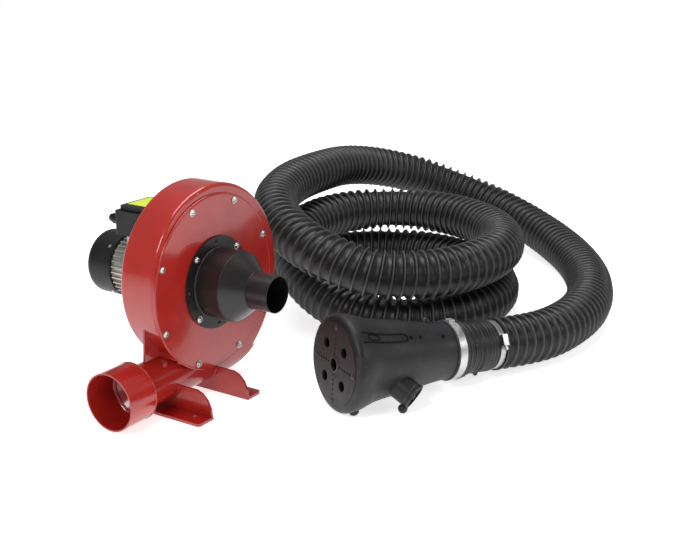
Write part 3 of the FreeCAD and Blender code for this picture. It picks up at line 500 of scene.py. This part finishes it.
def slot_points(x, y, length, width, angle):
    """A slot with round ends, its long way at an angle."""
    half, points = (length - width) / 2, []
    for end, first in ((1, -90), (-1, 90)):
        for i in range(5):
            turn = math.radians(first + 45 * i)
            points.append((end * half + width / 2 * math.cos(turn), width / 2 * math.sin(turn)))
    cosine, sine = math.cos(math.radians(angle)), math.sin(math.radians(angle))
    return [(x + u * cosine - v * sine, y + u * sine + v * cosine) for u, v in points]


def pierced_plate(name, loops, half_thick, edge, slot):
    """A flat plate cut out by closed loops, with eased edges, as a mesh in its own plane."""
    curve = bpy.data.curves.new(name, "CURVE")
    curve.dimensions = "2D"
    curve.fill_mode = "BOTH"
    curve.extrude, curve.bevel_depth, curve.bevel_resolution = half_thick, edge, 2
    for loop in loops:
        spline = curve.splines.new("POLY")
        spline.points.add(len(loop) - 1)
        for point, (x, y) in zip(spline.points, loop):
            point.co = (x, y, 0, 1)
        spline.use_cyclic_u = True
    holder = bpy.data.objects.new(name + "_outline", curve)
    scene.collection.objects.link(holder)
    bpy.context.view_layer.update()
    mesh = bpy.data.meshes.new_from_object(holder.evaluated_get(
        bpy.context.evaluated_depsgraph_get()))
    bpy.data.objects.remove(holder)
    obj = bpy.data.objects.new(name, mesh)
    scene.collection.objects.link(obj)
    paint(obj, slot)
    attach(obj, "root")
    return obj


def add_nozzle_face():
    """The face's raised skin: five holes, four rows of slits with strips of painted shade under
    them, a button at each row's end.
    """
    loops = [circle_points(0, 0, FACE_RADIUS, 120), circle_points(0, 0, CENTRE_HOLE, 40)]
    for angle in (45, 135, 225, 315):
        turn = math.radians(angle)
        loops.append(circle_points(HOLE_CIRCLE * math.cos(turn), HOLE_CIRCLE * math.sin(turn),
                                   FACE_HOLE, 32))
    for angle in SLIT_ROWS:
        turn = math.radians(angle)
        for i in range(SLITS_IN_ROW):
            out = SLIT_FIRST + SLIT_STEP * i
            loops.append(slot_points(out * math.cos(turn), out * math.sin(turn),
                                     SLIT_LONG, SLIT_WIDE, angle))
    plate = pierced_plate("nozzle_face_skin", loops, 0.0002, 0.0004, "nozzle_rubber")
    on_face = Matrix((NOZZLE.side, NOZZLE.up, -NOZZLE.forward)).transposed().to_4x4()
    plate.data.transform(Matrix.Translation(NOZZLE.at(-0.0005)) @ on_face)
    # Flat strips of painted shade under each row of slits, so that the slits read as dark.
    start, stop, half = SLIT_SHADE_FROM, SLIT_SHADE_TO, SLIT_SHADE_HALF
    for i, angle in enumerate(SLIT_ROWS):
        turn = math.radians(angle)
        strip = [(u * math.cos(turn) - v * math.sin(turn), u * math.sin(turn) + v * math.cos(turn))
                 for u, v in ((start, -half), (stop, -half), (stop, half), (start, half))]
        floor = pierced_plate(f"slit_floor_{i + 1}", [strip], 0.00015, 0, "painted_shade")
        floor.data.transform(Matrix.Translation(NOZZLE.at(-0.0002)) @ on_face)
    for i, angle in enumerate(SLIT_ROWS):
        dome(f"face_button_{i + 1}", NOZZLE.at(-0.0011, BUTTON_CIRCLE, angle), -NOZZLE.forward,
             0.0052, 0.0028, "ridge")
    rounded_ring("face_hole_lip", NOZZLE, -0.0006, CENTRE_HOLE, 0.004, 0.0022, "ridge")


def add_nozzle_mouldings():
    """The slot-shaped outline, dots, lug and hook moulded on the bell."""
    bell = Surface("nozzle_body")
    middle_angle, half_angle = 49.0, 6.3
    first, last = 0.020, 0.128
    outline = [(first, middle_angle - half_angle)]
    for i in range(9):
        turn = math.radians(-90 + 22.5 * i)
        outline.append((last + 0.009 * math.cos(turn), middle_angle + half_angle * math.sin(turn)))
    outline.append((first, middle_angle + half_angle))
    # The slot outline, its inner mark and the three dots are painted shade: near-black beads and
    # dots where the moulding falls in shadow.
    bead("slot_outline", [bell.toward(NOZZLE, a, t)[0] for a, t in spaced(outline)], 0.0017,
         "painted_shade")
    inner = [(0.040, 45.5), (0.062, 45.5), (0.066, 49.0), (0.062, 53.0), (0.040, 53.0),
             (0.036, 49.0), (0.040, 45.5)]
    bead("slot_mark", [bell.toward(NOZZLE, a, t)[0] for a, t in spaced(inner)], 0.0015,
         "painted_shade")
    for i, along in enumerate((0.146, 0.170, 0.232)):
        place, outward = bell.toward(NOZZLE, along, middle_angle)
        dome(f"bell_dot_{i + 1}", place, outward, 0.0044, 0.0020, "painted_shade")
    for name, along, angle, size, high in (("bell_lug", 0.222, 104, 0.0100, 0.0105),
                                           ("face_hook", 0.030, -66, 0.0105, 0.0080)):
        place, outward = bell.toward(NOZZLE, along, angle)
        dome(name, place, outward, size, high, "nozzle_rubber")
    for i, along in enumerate((0.2645, 0.2885)):
        rounded_ring(f"neck_lip_{i + 1}", NOZZLE, along, NECK_RADIUS, 0.005, 0.0036, "ridge")
    rounded_ring("neck_end_lip", NOZZLE, 0.2975, NECK_RADIUS - 0.001, 0.005, 0.0025, "ridge")


def spaced(corners, steps=8):
    """More places along a row of (along, angle) corners."""
    row = []
    for (a, t), (b, u) in zip(corners, corners[1:]):
        row += [(a + (b - a) * i / steps, t + (u - t) * i / steps) for i in range(steps)]
    return row + [corners[-1]]


def add_cuff_mouldings():
    """Rings and a small nub moulded round the cuff, and the slots of the worm clamp."""
    for i, (along, width, high) in enumerate(((0.313, 0.004, 0.0022), (0.3275, 0.003, 0.0014),
                                              (0.3535, 0.003, 0.0012), (0.3615, 0.003, 0.0012),
                                              (0.3685, 0.003, 0.0012))):
        rounded_ring(f"cuff_ring_{i + 1}", NOZZLE, along, CUFF_RADIUS - 0.0002, width, high,
                     "ridge")
    dome("cuff_nub", NOZZLE.at(0.345, CUFF_RADIUS + 0.001, -75), NOZZLE.spoke(-75), 0.006, 0.007,
         "nozzle_rubber")
    low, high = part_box("worm_clamp_housing")
    housing = (Vector(low) + Vector(high)) / 2 - NOZZLE.origin
    start = math.degrees(math.atan2(housing.dot(NOZZLE.up), housing.dot(NOZZLE.side)))
    middle, half = CLAMP_MIDDLE, CLAMP_SLOT_HALF
    for i in range(CLAMP_SLOTS):
        angle = start + CLAMP_SLOT_FIRST + CLAMP_SLOT_STEP * i
        path = [NOZZLE.at(middle - half + 2 * half * k / 4, CLAMP_RADIUS, angle + 1.2 * k / 4)
                for k in range(5)]
        bead(f"clamp_slot_{i + 1}", path, 0.00055, "black_plastic")


def add_port_mouldings():
    """A lip round the probe port's mouth and a moulded ring behind it."""
    pull = next(j for j in frame["record"]["behaviour"]["joints"] if j["name"] == "port_cap_pull")
    outward = Vector(pull["axis"]).normalized()
    axis = Axis((0, 0, 0), outward, (0, 0, 1))
    corners = [v.co for v in nodes["probe_port_cap"].data.vertices]
    back = min(c.dot(outward) for c in corners)
    front = max(c.dot(outward) for c in corners)
    disc = [c for c in corners if c.dot(outward) < back + 0.0001]
    middle = outward * (front + KNOB_BELOW_MOUTH)
    for cross in (axis.side, axis.up):
        reach = [c.dot(cross) for c in disc]
        middle += cross * (min(reach) + max(reach)) / 2
    port = Axis(middle, outward, (0, 0, 1))
    rounded_ring("port_lip", port, -0.0022, PORT_RADIUS - 0.0002, 0.0044, 0.0012, "ridge")
    rounded_ring("port_ring", port, -0.0120, PORT_RADIUS - 0.0003, 0.0026, 0.0008, "ridge")


# ------------------------------------------------------------------ blower

FAN_AXIS = Axis((0, 0, 0.245), (0, 1, 0), (0, 0, 1))
COVER_RADIUS, ADAPTER_RADIUS, FLANGE_FRONT = 0.183, 0.073, -0.0045
SPIGOT_RADIUS, CONE_START, CONE_END = 0.0381, -0.062, -0.104


def mount_place(name):
    return Vector(next(m for m in frame["record"]["mounts"] if m["name"] == name)["pos_m"])


PIPE = Axis((0, mount_place("outlet_socket").y, mount_place("outlet_socket").z), (1, 0, 0),
            (0, 0, 1))
PIPE_RADIUS, SOCKET_START, SOCKET_SHOULDER = 0.046, -0.205, 0.014
SOCKET_RADIUS, GUSSET_END = 0.060, -0.128


def add_cover_lip():
    """The pressed lip round the cover plate."""
    rounded_ring("cover_lip", FAN_AXIS, 0.003, COVER_RADIUS, 0.006, 0.0024, "red_paint")


def add_adapter_details():
    """Weld seams round the adapter, and the plugs between its flange screws."""
    seams = (("flange_weld", FLANGE_FRONT, ADAPTER_RADIUS, 0.0026, 0.16),
             ("cone_seam", CONE_START, ADAPTER_RADIUS - 0.0004, 0.0011, 0.05),
             ("spigot_seam", CONE_END, SPIGOT_RADIUS + 0.0002, 0.0013, 0.08))
    for name, along, radius, thick, lumps in seams:
        path = [FAN_AXIS.at(along, radius, 360 * i / 120) for i in range(120)]
        bead(name, path, thick, "black_paint", lumps, 0.005, closed=True)
    for i, angle in enumerate((0, 90, 180, 270)):
        dome(f"flange_plug_{i + 1}", FAN_AXIS.at(FLANGE_FRONT, 0.089, angle), (0, -1, 0),
             0.0042, 0.0022, "black_paint")


def add_casing_welds():
    """Weld beads where the pipe, the feet, the gusset and the scroll meet."""
    for name, along, radius in (("shoulder_weld", SOCKET_START + SOCKET_SHOULDER, PIPE_RADIUS),
                                ("socket_weld", SOCKET_START, SOCKET_RADIUS)):
        path = [PIPE.at(along, radius - 0.0006, 360 * i / 120) for i in range(120)]
        bead(name, path, 0.0016, "red_paint", 0.06, 0.007, closed=True)
    inside = [PIPE.at(SOCKET_START + 0.003, 0.0535, 360 * i / 120) for i in range(120)]
    bead("inner_socket_weld", inside, 0.0026, "red_paint", 0.14, 0.006, closed=True)
    for node, face in (("outlet_side_foot", 0), ("far_side_foot", 1)):
        low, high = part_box(node)
        web = high[0] if face == 0 else low[0]
        for side, angles in (("front", (188, 232)), ("rear", (-52, -8))):
            path = [PIPE.at(web - 0.005 * (1 - face), PIPE_RADIUS + 0.0005, angles[0] +
                            (angles[1] - angles[0]) * i / 20) for i in range(21)]
            bead(f"{node}_weld_{side}", path, 0.0024, "red_paint", 0.12)
    low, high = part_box("throat_gusset")
    along_pipe = [PIPE.at(low[0] + (GUSSET_END - low[0]) * i / 12, PIPE_RADIUS - 0.0005, 93.5)
                  for i in range(13)]
    bead("gusset_weld", along_pipe, 0.0024, "red_paint", 0.14)
    seam = [Vector((-0.126 + 0.062 * i / 16, 0.0040, 0.108 - 0.030 * i / 16)) for i in range(17)]
    bead("scroll_seam", seam, 0.0026, "red_paint", 0.14)


paint_cad_nodes()
add_camera()
add_floor()
add_lights()
add_hose()
add_nozzle_face()
add_nozzle_mouldings()
add_cuff_mouldings()
add_port_mouldings()
add_cover_lip()
add_adapter_details()
add_casing_welds()
